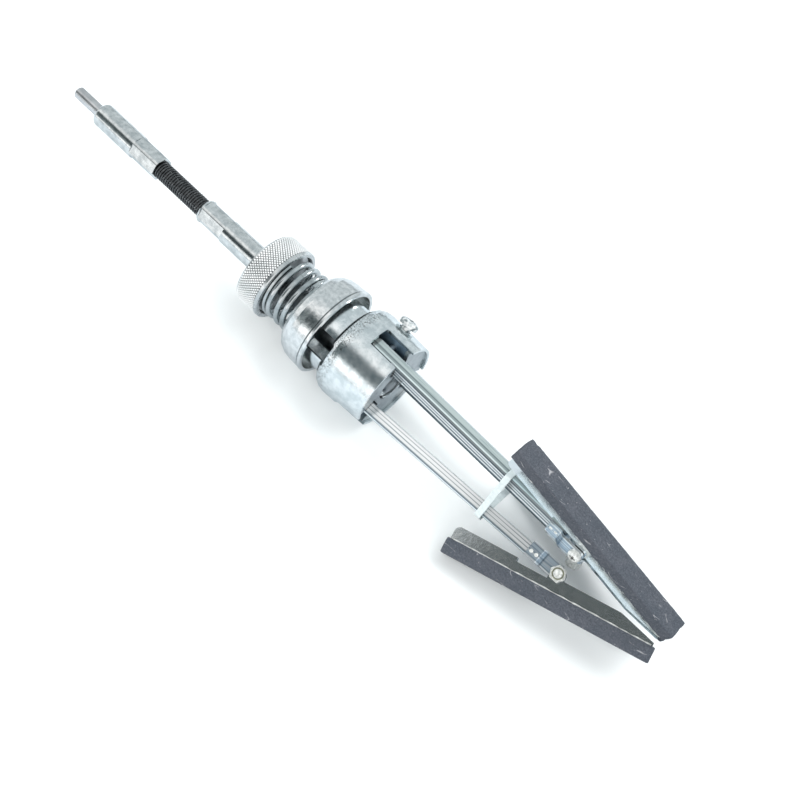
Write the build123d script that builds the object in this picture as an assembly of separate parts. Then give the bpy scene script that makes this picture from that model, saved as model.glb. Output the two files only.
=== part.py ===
from build123d import *
from math import asin, atan2, cos, degrees, hypot, pi, radians, sin, tan
import os

# Three-legged engine cylinder hone, in millimetres.
# The tool lies on a flat floor as it would on a bench: its axis is level, the drive shank
# points along -X and the stones along +X. One leg points straight up and the other two lie
# at 120 degrees to it, so it rests on the rim of the pressure cup and on two stone corners.
# Every piece is drawn about the X axis with x = 0 at the shank's tip, and is then lifted and
# centred over the origin, which is the centre of the footprint.

# Drive end
SHANK_D = 6.35
SHANK_OUT = 18.0
SHANK_HELD = 14.0
SHANK_CHAMFER = 0.8
SPIGOT_D = 5.6
FERRULE_D = 12.5
UPPER_FERRULE_LEN = 44.5
FERRULE_ROUND = 1.6
CRIMP_LEN = 17.0
CRIMP_FLATS = 11.5
FLEX_D = 9.5
FLEX_CORE_D = 4.6
FLEX_WALL = 2.2
FLEX_FREE = 31.5
FLEX_HELD = 14.0
LOWER_FERRULE_LEN = 43.0
SEAT_GAP = 0.05

# Spindle, tension nut and spring
SPINDLE_D = 10.0
SPINDLE_HELD = 24.0
NUT_D = 39.0
NUT_LEN = 14.0
NUT_EDGE = 1.2
NUT_RECESS_D = 34.6
NUT_RECESS = 3.2
WASHER_D = 33.0
WASHER_T = 1.0
THREAD_CLEAR = 0.05
SPRING_D = 32.0
SPRING_WIRE = 3.0
SPRING_TURNS = 4.0
SPRING_CLOSED = 1.25
SPRING_COIL_GAP = 0.06
SPRING_RUNS = 14
SPRING_LEN = 19.0
SPRING_SEAT_GAP = 0.2

# Pressure cup and the sleeve that it drives
CUP_D = 47.6
CUP_LEN = 17.0
CUP_SEAT_R = 16.8
CUP_DOME = 9.4
CUP_WALL = 1.9
CUP_LIP = 1.6
CUP_GROOVE = 0.4
SLEEVE_D = 17.0
SLEEVE_NOSE = 1.2
SLIDE_CLEAR = 0.08
STROKE_LEVER = 8.0

# Body shell, core and bottom plate
NECK_D = 37.0
NECK_WALL = 1.3
NECK_INTO_CUP = 6.5
BODY_D = 47.4
BODY_TAPER = 0.8
BODY_WALL = 1.3
BODY_GAP_TO_CUP = 7.8
SHOULDER_LEN = 7.0
BODY_LEN = 30.1
SLOT_W = 12.0
SLOT_LEN = 16.2
SLOT_ROUND = 1.0
WINDOW_W = 12.5
WINDOW_BELOW_NECK = 3.0
CORE_TOP_BELOW_SHOULDER = 1.0
PLATE_T = 2.0
PLATE_RECESS = 1.3
PLATE_NOTCH_W = 9.0
PLATE_HOLE_D = 16.0
HUB_R = 10.6
HUB_FLOOR = 1.7
CLIP_D = 14.5
CLIP_T = 1.0
LOBE_SCREW_D = 5.0
LOBE_HEAD_D = 9.6
LOBE_HEAD_T = 3.0
LOBE_STANDOFF = 1.4
LOBE_HOLE = 6.2
LOBE_SCREW_IN = 9.0
LOBE_SCREW_ANGLE = -45.0
LOBE_SCREW_ABOVE_HINGE = 3.0

# Legs
LEG_ANGLES = {"a": 0, "b": 120, "c": 240}
HINGE_D = 3.0
HINGE_R = 15.0
HINGE_ABOVE_END = 10.5
HINGE_BITE = 4.6
HINGE_CLEAR = 0.05
ARM_REACH = 121.8
ARM_W = 7.0
ARM_DEPTH = 6.0
ARM_SHEET = 1.2
ARM_EDGE = 0.9
ARM_SHORT = 9.0
ARM_TAIL = 7.0
LEVER_W = 4.4
ARM_SWING = 32.0
PIVOT_R = 10.6
PIVOT_D = 4.0
PIVOT_CLEAR = 0.08
FOOT_LEN = 17.0
FOOT_GRIP = 6.0
FOOT_JOG = 2.0
FOOT_SHEET = 1.2
FOOT_END_R = 3.4
FOOT_BRIDGE = 10.0
SIDE_GAP = 0.3
SCREW_HEAD_D = 6.2
SCREW_HEAD_T = 2.4
RECESS_W = 0.9
NUT_FLATS = 6.8
NUT_T = 3.2
NUT_COLLAR_T = 1.0

# Stones and their holders
STONE_LEN = 100.0
STONE_W = 10.0
STONE_T = 7.5
STONE_ABOVE_PIVOT = 8.0
TILT_UP = 14.0
HOLDER_W = 8.4
HOLDER_SHEET = 1.2
HOLDER_FLANGE = 6.3
HOLDER_SHORT = 1.5
HOLDER_TAPER_LEN = 17.5
HOLDER_TIP_FLANGE = 1.5
HOLDER_ROUND = 2.6
NOTCH_LEN = 15.0
NOTCH_FLANGE = 4.4
EAR_R = 3.6

# Rubber band that keeps the legs shut
BAND_FROM_FOOT = 43.0
BAND_W = 3.0
BAND_T = 1.0
BAND_CLEAR = 0.3

# Stations along the axis, measured from the shank's tip
shank_end = SHANK_OUT + SHANK_HELD
upper_end = SHANK_OUT + UPPER_FERRULE_LEN
lower_start = upper_end + FLEX_FREE
lower_end = lower_start + LOWER_FERRULE_LEN
nut_end = lower_end + NUT_LEN
washer_start = nut_end - NUT_RECESS + SEAT_GAP
spring_start = washer_start + WASHER_T
seat_x = spring_start + SPRING_LEN
rim_x = seat_x + CUP_LEN
shoulder_x = rim_x + BODY_GAP_TO_CUP
neck_start = rim_x - NECK_INTO_CUP
shell_end = shoulder_x + BODY_LEN
plate_end = shell_end - PLATE_RECESS
core_end = plate_end - PLATE_T
core_start = shoulder_x + SHOULDER_LEN + CORE_TOP_BELOW_SHOULDER
hinge_x = shell_end - HINGE_ABOVE_END
lobe_screw_x = hinge_x - LOBE_SCREW_ABOVE_HINGE
pin_half = SLOT_W / 2 + HINGE_BITE
arm_drop = asin((HINGE_R - PIVOT_R) / ARM_REACH)
pivot_x = hinge_x + ARM_REACH * cos(arm_drop)
foot_start = ARM_REACH - FOOT_LEN
fork_half = HOLDER_W / 2 + SIDE_GAP

# Radii and heights
cup_r = CUP_D / 2
spindle_r = SPINDLE_D / 2
sleeve_r = SLEEVE_D / 2
body_r = BODY_D / 2
core_r = body_r - BODY_TAPER - BODY_WALL - SEAT_GAP
shell_bore_r = core_r + SEAT_GAP
axis_z = cup_r
stone_back = STONE_ABOVE_PIVOT + STONE_T

# The tilt of the two lower stones puts their outer corners on the floor that the cup touches
corner_r = (axis_z - STONE_W / 2 * cos(radians(30))) / sin(radians(30))
tilt_floor = degrees(
    asin((corner_r - PIVOT_R) / hypot(STONE_LEN / 2, stone_back)) - atan2(stone_back, STONE_LEN / 2)
)
TILTS = {"a": TILT_UP, "b": tilt_floor, "c": tilt_floor}

# The short lever of each arm swings equally far before and after square to the axis
lever_x = hinge_x - STROKE_LEVER * sin(radians(ARM_SWING / 2))
lever_r = HINGE_R - STROKE_LEVER * cos(radians(ARM_SWING / 2))
sleeve_end = lever_x - LEVER_W / 2 - THREAD_CLEAR
cup_stroke = 2 * STROKE_LEVER * sin(radians(ARM_SWING / 2))


def far_corner(tilt):
    return pivot_x + STONE_LEN / 2 * cos(radians(tilt)) + stone_back * sin(radians(tilt))


overall = max(far_corner(tilt) for tilt in TILTS.values())
mid_x = overall / 2


def place(shape):
    return Pos(-mid_x, 0, axis_z) * shape


def turned(*points):
    return revolve(make_face(Polyline(*points, close=True)), Axis.X, 360)


def rod(x0, x1, r):
    return turned((x0, 0), (x1, 0), (x1, r), (x0, r))


def ring(x0, x1, r_in, r_out):
    return turned((x0, r_in), (x1, r_in), (x1, r_out), (x0, r_out))


def cross_pin(r, y0, y1):
    return Pos(0, (y0 + y1) / 2, 0) * Rot(X=90) * Cylinder(r, y1 - y0)


def quarter_round(x0, r0, x1, r1, bands=4):
    # a quarter of an oval that leaves (x0, r0) outwards and reaches (x1, r1) along the axis
    turns = [pi / 2 * i / bands for i in range(bands + 1)]
    return [(x1 + (x0 - x1) * cos(a), r0 + (r1 - r0) * sin(a)) for a in turns]


def pan_screw(head_d, head_t, shank_d, shank_len):
    # the underside of the head is at x = 0 and the shank points along +X
    crown = quarter_round(-head_t, head_d / 4, -head_t / 2, head_d / 2)
    screw = turned(
        (shank_len, 0), (-head_t, 0), *crown, (0, head_d / 2), (0, shank_d / 2), (shank_len, shank_d / 2)
    )
    recess = Box(head_t, head_d / 2, RECESS_W) + Box(head_t, RECESS_W, head_d / 2)
    return screw - Pos(-head_t, 0, 0) * recess


def leg_box(x0, x1, width, z0, z1):
    return Pos((x0 + x1) / 2, 0, (z0 + z1) / 2) * Box(x1 - x0, width, z1 - z0)


def around(shape, first=0):
    turned_copies = [Rot(X=first + angle) * shape for angle in LEG_ANGLES.values()]
    return turned_copies[0] + turned_copies[1] + turned_copies[2]


def side_outline(sketch, width):
    # a flat outline in the leg's own plane, thickened equally to both sides
    return extrude(Plane.XZ * sketch, width / 2, both=True)


# Drive shank: a plain ground rod with a chamfered tip, turned down where the ferrule grips it
def make_drive_shank():
    r, spigot_r, shoulder = SHANK_D / 2, SPIGOT_D / 2, SHANK_OUT - SEAT_GAP
    return turned(
        (0, 0), (shank_end, 0), (shank_end, spigot_r), (shoulder, spigot_r), (shoulder, r),
        (SHANK_CHAMFER, r), (0, r - SHANK_CHAMFER),
    )


# Ferrules: turned sleeves with a rounded end, crimped to six flats over the flexible shaft
def crimped_sleeve(x0, x1, crimp0, crimp1):
    r = FERRULE_D / 2
    mouth = quarter_round(x0, r - FERRULE_ROUND, x0 + FERRULE_ROUND, r)
    sleeve = turned((x1, 0), (x0, 0), *mouth, (x1, r))
    flats = extrude(Plane.YZ.offset(crimp0) * RegularPolygon(CRIMP_FLATS / 2, 6, major_radius=False),
                    crimp1 - crimp0)
    return sleeve - (rod(crimp0, crimp1, FERRULE_D) - flats)


def make_upper_ferrule():
    x0 = SHANK_OUT
    body = crimped_sleeve(x0, upper_end, upper_end - CRIMP_LEN, upper_end)
    body -= rod(x0, shank_end, SPIGOT_D / 2 + SEAT_GAP)
    return body - rod(upper_end - FLEX_HELD, upper_end, FLEX_D / 2 + SEAT_GAP)


def make_lower_ferrule():
    crimp_end = lower_start + CRIMP_LEN
    body = crimped_sleeve(lower_start, lower_end, lower_start + FERRULE_ROUND, crimp_end)
    body -= rod(lower_start, lower_start + FLEX_HELD, FLEX_D / 2 + SEAT_GAP)
    return body - rod(lower_end - SPINDLE_HELD, lower_end, spindle_r + SEAT_GAP)


# Flexible shaft: a close-wound wire tube over a stranded core, both gripped by the ferrules
flex_start = upper_end - FLEX_HELD + SEAT_GAP
flex_end = lower_start + FLEX_HELD - SEAT_GAP


def make_flex_coil():
    return ring(flex_start, flex_end, FLEX_D / 2 - FLEX_WALL, FLEX_D / 2)


def make_flex_core():
    return rod(flex_start, flex_end, FLEX_CORE_D / 2)


# Spindle: the long screw that carries the nut, spring, cup and body
def make_spindle():
    x0 = lower_end - SPINDLE_HELD + SEAT_GAP
    edge = NUT_EDGE / 2
    r = spindle_r
    return turned((x0, 0), (plate_end, 0), (plate_end, r - edge), (plate_end - edge, r), (x0, r))


# Tension nut: a knurled disc with a recess that the spring's washer sits in
def make_tension_nut():
    x0, x1, r = lower_end + SEAT_GAP, nut_end, NUT_D / 2
    bore = spindle_r + THREAD_CLEAR
    floor = x1 - NUT_RECESS
    return turned(
        (x0, bore), (x0, r - NUT_EDGE), (x0 + NUT_EDGE, r), (x1 - NUT_EDGE / 2, r),
        (x1, r - NUT_EDGE / 2), (x1, NUT_RECESS_D / 2), (floor, NUT_RECESS_D / 2), (floor, bore),
    )


def make_thrust_washer():
    return ring(washer_start, spring_start, spindle_r + SLIDE_CLEAR, WASHER_D / 2)


# Tension spring: round wire with close-wound ends, drawn as short straight runs
def make_tension_spring():
    coil_r = (SPRING_D - SPRING_WIRE) / 2
    start = spring_start + SPRING_WIRE / 2 + SPRING_SEAT_GAP
    span = SPRING_LEN - SPRING_WIRE - 2 * SPRING_SEAT_GAP
    close_pitch = SPRING_WIRE + SPRING_COIL_GAP
    open_pitch = (span - 2 * SPRING_CLOSED * close_pitch) / (SPRING_TURNS - 2 * SPRING_CLOSED)
    points = []
    for i in range(round(SPRING_TURNS * SPRING_RUNS) + 1):
        turn = i / SPRING_RUNS
        closed = min(turn, SPRING_CLOSED) + max(0, turn - SPRING_TURNS + SPRING_CLOSED)
        x = start + closed * close_pitch + (turn - closed) * open_pitch
        points.append(Vector(x, 0, coil_r).rotate(Axis.X, 360 * turn))
    path = Polyline(*points)
    section = Plane(path @ 0, z_dir=path % 0) * Circle(SPRING_WIRE / 2)
    return sweep(section, path, transition=Transition.RIGHT)


# Pressure cup: a turned bell with a flat spring seat, a domed shoulder and a grooved rim lip
def make_pressure_cup():
    r, wall, lip, groove = cup_r, CUP_WALL, CUP_LIP, CUP_GROOVE
    bore, inside = spindle_r + SLIDE_CLEAR, seat_x + CUP_WALL
    dome = quarter_round(seat_x, CUP_SEAT_R, seat_x + CUP_DOME, r - groove)
    hollow = quarter_round(inside, CUP_SEAT_R - wall / 2, inside + CUP_DOME, r - wall)
    return turned(
        (seat_x, bore), *dome, (rim_x - lip - 2 * groove, r - groove / 2),
        (rim_x - lip - groove, r - 2 * groove), (rim_x - lip, r), (rim_x - groove, r),
        (rim_x, r - groove), (rim_x, r - wall), *reversed(hollow), (inside, bore),
    )


# Push sleeve: carries the cup's thrust to the short levers of the arms
def make_push_sleeve():
    start, bore, nose = seat_x + CUP_WALL + SEAT_GAP, spindle_r + SLIDE_CLEAR, SLEEVE_NOSE
    return turned(
        (start, bore), (start, sleeve_r), (sleeve_end - nose, sleeve_r),
        (sleeve_end, sleeve_r - nose), (sleeve_end, bore),
    )


# Body shell: a drawn cup with a narrow neck, three windows in the shoulder and three arm slots
def make_body_shell():
    neck_r, neck_in = NECK_D / 2, NECK_D / 2 - NECK_WALL
    top = shoulder_x + SHOULDER_LEN
    shoulder = quarter_round(shoulder_x, neck_r, top, body_r)
    hollow = quarter_round(shoulder_x + BODY_WALL, neck_in, top + BODY_WALL, shell_bore_r)
    shell = turned(
        (neck_start, neck_in), (neck_start, neck_r), *shoulder, (shell_end, body_r - BODY_TAPER),
        (shell_end, shell_bore_r), *reversed(hollow),
    )
    slot = leg_box(shell_end - SLOT_LEN, shell_end + SLOT_LEN, SLOT_W, 0, BODY_D)
    slot = fillet(slot.edges().filter_by(Axis.Z).group_by(Axis.X)[0], SLOT_ROUND)
    window = leg_box(neck_start - 1, shoulder_x + WINDOW_BELOW_NECK, WINDOW_W, 0, BODY_D)
    window = fillet(window.edges().filter_by(Axis.Z).group_by(Axis.X)[-1], SLOT_ROUND)
    screw_hole = Pos(lobe_screw_x, 0, body_r) * Cylinder(LOBE_HOLE / 2, body_r / 2)
    return shell - around(slot) - around(window, 60) - Rot(X=LOBE_SCREW_ANGLE) * screw_hole


# Body core: a three-lobed block between the arms, bored for the spindle and the push sleeve
def make_body_core():
    core = rod(core_start, core_end, core_r)
    core -= rod(core_start, core_end, spindle_r + SEAT_GAP)
    core -= rod(core_start, core_end - HUB_FLOOR, sleeve_r + 2 * SEAT_GAP + SIDE_GAP)
    core -= around(leg_box(core_start, core_end, SLOT_W, HUB_R, BODY_D))
    lever_slot = ARM_W + 2 * SIDE_GAP
    core -= around(leg_box(core_start, core_end - HUB_FLOOR, lever_slot, 0, HUB_R + SEAT_GAP))
    pin_hole = Pos(hinge_x, 0, HINGE_R) * cross_pin(HINGE_D / 2, -pin_half, pin_half)
    screw_hole = Pos(lobe_screw_x, 0, core_r) * Cylinder(LOBE_SCREW_D / 2 + SEAT_GAP, 2 * LOBE_SCREW_IN)
    return core - around(pin_hole) - Rot(X=LOBE_SCREW_ANGLE) * screw_hole


def make_hinge_pin():
    return Pos(hinge_x, 0, HINGE_R) * cross_pin(HINGE_D / 2, -pin_half, pin_half)


# Bottom plate: closes the shell below the core, notched for the arms, open at the spindle's clip
def make_bottom_plate():
    plate = ring(core_end, plate_end, PLATE_HOLE_D / 2, core_r)
    return plate - around(leg_box(core_end, plate_end, PLATE_NOTCH_W, HUB_R, BODY_D))


def make_spindle_clip():
    clip = ring(core_end, core_end + CLIP_T, spindle_r, CLIP_D / 2)
    mouth = leg_box(core_end, core_end + CLIP_T, SPINDLE_D * 0.7, 0, CLIP_D)
    return clip - mouth


# Lobe screw: a pan-head screw that stands a little proud and holds the shell to the core
def make_lobe_screw():
    screw = pan_screw(LOBE_HEAD_D, LOBE_HEAD_T, LOBE_SCREW_D, LOBE_STANDOFF + LOBE_SCREW_IN)
    return Rot(X=LOBE_SCREW_ANGLE) * Pos(lobe_screw_x, 0, body_r + LOBE_STANDOFF) * Rot(Y=90) * screw


# Arm: a pressed channel with its web outside; its side walls run on inwards as a short lever
def arm_place(shape):
    return Pos(hinge_x, 0, HINGE_R) * Rot(Y=degrees(arm_drop)) * shape


def make_arm():
    depth, reach = ARM_DEPTH, ARM_REACH - ARM_SHORT
    bar = Pos(reach / 2, 0) * Rectangle(reach, depth) + Circle(depth / 2)
    bar += Pos(-ARM_TAIL / 2, depth / 4) * Rectangle(ARM_TAIL, depth / 2)
    lever_turn = 180 - ARM_SWING / 2 + degrees(arm_drop)
    lever = Pos(0, STROKE_LEVER / 2) * Rectangle(LEVER_W, STROKE_LEVER)
    lever += Pos(0, STROKE_LEVER) * Circle(LEVER_W / 2)
    half, top = ARM_W / 2, depth / 2
    tip = reach + ARM_TAIL - half
    plan = Pos(reach - tip / 2, 0) * Rectangle(tip, ARM_W) + Pos(half - ARM_TAIL, 0) * Circle(half)
    arm = side_outline(bar, ARM_W) & extrude(plan, depth, both=True)
    arm += side_outline(Rot(Z=lever_turn) * lever, ARM_W)
    trough = ARM_W - 2 * ARM_SHEET
    arm -= leg_box(ARM_SHEET - ARM_TAIL, reach, trough, -2 * STROKE_LEVER, top - ARM_SHEET)
    arm -= cross_pin(HINGE_D / 2 + HINGE_CLEAR, -ARM_W, ARM_W)
    section = Polyline(
        (-half, -top - STROKE_LEVER), (-half, top - ARM_EDGE), (ARM_EDGE - half, top),
        (half - ARM_EDGE, top), (half, top - ARM_EDGE), (half, -top - STROKE_LEVER), close=True,
    )
    return arm_place(arm & extrude(Plane.YZ * make_face(section), 2 * ARM_REACH, both=True))


# Arm foot: a fork pressed over the arm's end, stepped out to straddle the holder's ears
def make_arm_foot():
    grip, sheet = ARM_W / 2, FOOT_SHEET
    x0, x1 = foot_start, foot_start + FOOT_GRIP
    x2, x3 = x1 + FOOT_JOG, ARM_REACH + FOOT_END_R
    plate = Polyline(
        (x0, grip), (x1, grip), (x2, fork_half), (x3, fork_half), (x3, fork_half + sheet),
        (x2, fork_half + sheet), (x1, grip + sheet), (x0, grip + sheet), close=True,
    )
    low = -ARM_DEPTH / 2 - sheet
    wall = Pos(0, 0, low) * extrude(make_face(plate), ARM_DEPTH + sheet)
    walls = wall + mirror(wall, Plane.XZ)
    outline = Pos((x0 + ARM_REACH) / 2, low / 2 + ARM_DEPTH / 4) * Rectangle(
        ARM_REACH - x0, ARM_DEPTH + sheet
    ) + Circle(FOOT_END_R).moved(Location((ARM_REACH, 0, 0)))
    walls &= side_outline(outline, 4 * ARM_W)
    bridge = leg_box(x0, x0 + FOOT_BRIDGE, ARM_W, low, low + sheet)
    foot = walls + bridge
    foot -= Pos(ARM_REACH, 0, 0) * cross_pin(PIVOT_D / 2 + PIVOT_CLEAR, -2 * ARM_W, 2 * ARM_W)
    return arm_place(foot)


# Pivot screw and self-locking nut: they turn with the stone and hold it by friction
def pivot_place(shape):
    return Pos(pivot_x, 0, PIVOT_R) * shape


def make_pivot_screw():
    seat = fork_half + FOOT_SHEET + SEAT_GAP
    tip = seat + NUT_T + NUT_COLLAR_T + SEAT_GAP
    screw = pan_screw(SCREW_HEAD_D, SCREW_HEAD_T, PIVOT_D, seat + tip)
    return pivot_place(Pos(0, -seat, 0) * Rot(Z=90) * screw)


def make_lock_nut():
    seat = fork_half + FOOT_SHEET + SEAT_GAP
    hexagon = extrude(Plane.XZ.offset(-seat) * RegularPolygon(NUT_FLATS / 2, 6, major_radius=False), -NUT_T)
    collar = cross_pin(NUT_FLATS / 2 * 0.9, seat + NUT_T, seat + NUT_T + NUT_COLLAR_T)
    bore = cross_pin(PIVOT_D / 2 + SEAT_GAP, seat, seat + NUT_T + NUT_COLLAR_T)
    return pivot_place(hexagon + collar - bore)


# Stone holder: a folded channel with two ears on the pivot, notched where the foot folds in
def stone_place(shape, tilt):
    return pivot_place(Rot(Y=tilt) * shape)


def make_stone_holder(tilt):
    half, top = STONE_LEN / 2 - HOLDER_SHORT, STONE_ABOVE_PIVOT
    low = top - HOLDER_FLANGE
    notch = top - NOTCH_FLANGE
    profile = Polyline(
        (-half, top), (-half, low), (-EAR_R - NOTCH_LEN, low), (-EAR_R - NOTCH_LEN, notch),
        (-EAR_R, notch), (-EAR_R, 0), (EAR_R, 0), (EAR_R, low), (half - HOLDER_TAPER_LEN, low),
        (half, top - HOLDER_TIP_FLANGE), (half, top), close=True,
    )
    face = make_face(profile)
    face = fillet(face.vertices().group_by(Axis.X)[0].sort_by(Axis.Y)[0], HOLDER_ROUND)
    outline = face + Circle(EAR_R)
    holder = side_outline(outline, HOLDER_W)
    holder -= leg_box(-STONE_LEN, STONE_LEN, HOLDER_W - 2 * HOLDER_SHEET, -STONE_LEN, top - HOLDER_SHEET)
    holder -= cross_pin(PIVOT_D / 2 + PIVOT_CLEAR, -HOLDER_W, HOLDER_W)
    return stone_place(holder, tilt)


# Abrasive stone: a straight bar bonded to the holder's back
def make_stone(tilt):
    low = STONE_ABOVE_PIVOT
    bar = leg_box(-STONE_LEN / 2, STONE_LEN / 2, STONE_W, low, low + STONE_T)
    return stone_place(bar, tilt)


# Leg band: a flat elastic loop round the three arms, drawn tight over their webs
def make_leg_band():
    s = ARM_REACH - BAND_FROM_FOOT
    x = hinge_x + s * cos(arm_drop)
    web_r = HINGE_R - s * sin(arm_drop) + ARM_DEPTH / 2 / cos(arm_drop) + BAND_CLEAR
    half = ARM_W / 2 + BAND_CLEAR
    corners = []
    for angle in LEG_ANGLES.values():
        for side in (half, -half):
            corners.append(Vector(0, side, web_r).rotate(Axis.X, angle))
    loop = make_face(Polyline(*corners, close=True))
    inner = extrude(loop, BAND_W / 2, both=True, dir=(1, 0, 0))
    outer_face = offset(loop, BAND_T, kind=Kind.ARC)
    outer = extrude(outer_face, BAND_W / 2, both=True, dir=(1, 0, 0))
    return Pos(x, 0, 0) * (outer - inner)


def write(name, shape):
    export_step(place(shape).solid(), f"parts/{name}.step")


os.makedirs("parts", exist_ok=True)
write("drive_shank", make_drive_shank())
write("upper_ferrule", make_upper_ferrule())
write("flex_coil", make_flex_coil())
write("flex_core", make_flex_core())
write("lower_ferrule", make_lower_ferrule())
write("spindle", make_spindle())
write("tension_nut", make_tension_nut())
write("thrust_washer", make_thrust_washer())
write("tension_spring", make_tension_spring())
write("pressure_cup", make_pressure_cup())
write("push_sleeve", make_push_sleeve())
write("body_shell", make_body_shell())
write("body_core", make_body_core())
write("bottom_plate", make_bottom_plate())
write("spindle_clip", make_spindle_clip())
write("lobe_screw", make_lobe_screw())
write("leg_band", make_leg_band())

leg_pieces = {
    "hinge_pin": make_hinge_pin(),
    "arm": make_arm(),
    "arm_foot": make_arm_foot(),
    "pivot_screw": make_pivot_screw(),
    "lock_nut": make_lock_nut(),
}
for leg, angle in LEG_ANGLES.items():
    leg_pieces["stone_holder"] = make_stone_holder(TILTS[leg])
    leg_pieces["stone"] = make_stone(TILTS[leg])
    for name, shape in leg_pieces.items():
        write(f"{name}_{leg}", Rot(X=angle) * shape)
print(f"overall {overall:.2f} axis height {axis_z:.2f} floor tilt {tilt_floor:.2f}")
print(f"hinge {hinge_x - mid_x:.3f} pivot {pivot_x - mid_x:.3f} stroke {cup_stroke:.3f} drop {degrees(arm_drop):.3f}")
print(f"flex centre {(upper_end + lower_start) / 2 - mid_x:.3f} seat {seat_x - mid_x:.3f} shank tip {-mid_x:.3f}")
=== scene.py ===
import math

import bmesh
import bpy
from mathutils import Matrix, Vector, noise


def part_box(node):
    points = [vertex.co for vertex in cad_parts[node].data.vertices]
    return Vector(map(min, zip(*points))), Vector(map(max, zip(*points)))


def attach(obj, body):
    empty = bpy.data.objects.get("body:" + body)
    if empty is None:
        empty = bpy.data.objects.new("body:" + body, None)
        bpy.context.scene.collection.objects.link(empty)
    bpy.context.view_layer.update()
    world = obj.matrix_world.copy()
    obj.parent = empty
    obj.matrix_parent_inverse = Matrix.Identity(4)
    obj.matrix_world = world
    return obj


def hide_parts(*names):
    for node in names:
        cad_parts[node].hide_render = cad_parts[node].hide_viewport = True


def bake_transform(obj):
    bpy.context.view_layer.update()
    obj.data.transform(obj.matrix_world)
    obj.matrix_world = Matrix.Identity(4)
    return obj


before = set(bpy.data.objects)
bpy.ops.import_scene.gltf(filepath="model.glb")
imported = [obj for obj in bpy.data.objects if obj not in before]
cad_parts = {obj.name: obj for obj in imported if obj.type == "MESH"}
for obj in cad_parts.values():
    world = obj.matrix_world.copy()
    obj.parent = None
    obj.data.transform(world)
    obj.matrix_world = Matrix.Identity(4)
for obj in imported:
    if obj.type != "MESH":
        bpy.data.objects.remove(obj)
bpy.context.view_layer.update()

# Drive shank: a plain quarter-inch steel rod, ground round, that a drill chuck grips.
# Every bright metal piece takes its finish from plated(), which breaks up colour, gloss and
# surface with noise in the object's own coordinates, and darkens corners and seams as painted shade.


def shader(name):
    mat = bpy.data.materials.new(name)
    mat.use_nodes = True
    tree = mat.node_tree
    return mat, tree, tree.nodes["Principled BSDF"]


def coords(tree, scale=(1, 1, 1)):
    place = tree.nodes.new("ShaderNodeTexCoord")
    mapping = tree.nodes.new("ShaderNodeMapping")
    mapping.inputs["Scale"].default_value = scale
    tree.links.new(place.outputs["Object"], mapping.inputs["Vector"])
    return mapping.outputs["Vector"]


def speckle(tree, vector, scale, detail=3.0, rough=0.6):
    tex = tree.nodes.new("ShaderNodeTexNoise")
    tex.inputs["Scale"].default_value = scale
    tex.inputs["Detail"].default_value = detail
    tex.inputs["Roughness"].default_value = rough
    tree.links.new(vector, tex.inputs["Vector"])
    return tex.outputs["Fac"]


def ramp(tree, value, *stops):
    node = tree.nodes.new("ShaderNodeValToRGB")
    for i, (at, colour) in enumerate(stops):
        stop = node.color_ramp.elements[i] if i < 2 else node.color_ramp.elements.new(at)
        stop.position = at
        stop.color = (*colour, 1)
    tree.links.new(value, node.inputs["Fac"])
    return node.outputs["Color"]


def span(tree, value, low, high):
    node = tree.nodes.new("ShaderNodeMapRange")
    node.inputs["To Min"].default_value = low
    node.inputs["To Max"].default_value = high
    tree.links.new(value, node.inputs["Value"])
    return node.outputs["Result"]


def times(tree, under, over):
    node = tree.nodes.new("ShaderNodeMix")
    node.data_type = "RGBA"
    node.blend_type = "MULTIPLY"
    node.inputs["Factor"].default_value = 1.0
    tree.links.new(under, node.inputs["A"])
    tree.links.new(over, node.inputs["B"])
    return node.outputs["Result"]


def dents(tree, bsdf, height, strength, distance):
    bump = tree.nodes.new("ShaderNodeBump")
    bump.inputs["Strength"].default_value = strength
    bump.inputs["Distance"].default_value = distance
    tree.links.new(height, bump.inputs["Height"])
    tree.links.new(bump.outputs["Normal"], bsdf.inputs["Normal"])


def corner_shaded(tree, colour, reach, shut, clear):
    # painted shade: the colour darkens in corners and along seams, where occlusion is high
    corners = tree.nodes.new("ShaderNodeAmbientOcclusion")
    corners.samples = 6
    corners.inputs["Distance"].default_value = reach
    painted_shade = ramp(tree, corners.outputs["AO"], (shut, (0.1, 0.11, 0.12)), (clear, (1, 1, 1)))
    return times(tree, colour, painted_shade)


def plated(
    name, dark, light, gloss, stretch=(1, 1, 1), scale=900.0, strength=0.25, patch=120.0,
    streak=(1, 1, 1), stops=(0.35, 0.65), metal=1.0, shade_reach=0.0012
):
    # fine grain of size 1/scale, wide patches of size 1/patch between the dark and light colour
    mat, tree, bsdf = shader(name)
    bsdf.inputs["Metallic"].default_value = metal
    fine = speckle(tree, coords(tree, stretch), scale, detail=4.0)
    wide = speckle(tree, coords(tree, streak), patch)
    tone = ramp(tree, wide, (stops[0], dark), (stops[1], light))
    # painted shade darkens the tone in corners and along seams
    tree.links.new(corner_shaded(tree, tone, shade_reach, shut=0.22, clear=0.62), bsdf.inputs["Base Color"])
    tree.links.new(span(tree, fine, gloss[0], gloss[1]), bsdf.inputs["Roughness"])
    dents(tree, bsdf, fine, strength, distance=0.00006)
    return mat


def dress(mat, *names):
    for name in names:
        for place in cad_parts[name].material_slots:
            place.link = "OBJECT"
            place.material = mat


ground = plated(
    "ground_steel", (0.55, 0.56, 0.57), (0.74, 0.75, 0.76), (0.22, 0.4), stretch=(0.15, 1, 1), scale=1400
)
dress(ground, "drive_shank")

# Ferrules: turned steel sleeves, bright zinc plated, each pressed to six flats over the end
# of the flexible shaft. The plating is bright with small scuffs.
sleeve_zinc = plated(
    "sleeve_zinc", (0.56, 0.6, 0.61), (0.84, 0.87, 0.87), (0.1, 0.26), stretch=(0.3, 1, 1), scale=700,
    strength=0.3, patch=300,
)
dress(sleeve_zinc, "upper_ferrule", "lower_ferrule")
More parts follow.
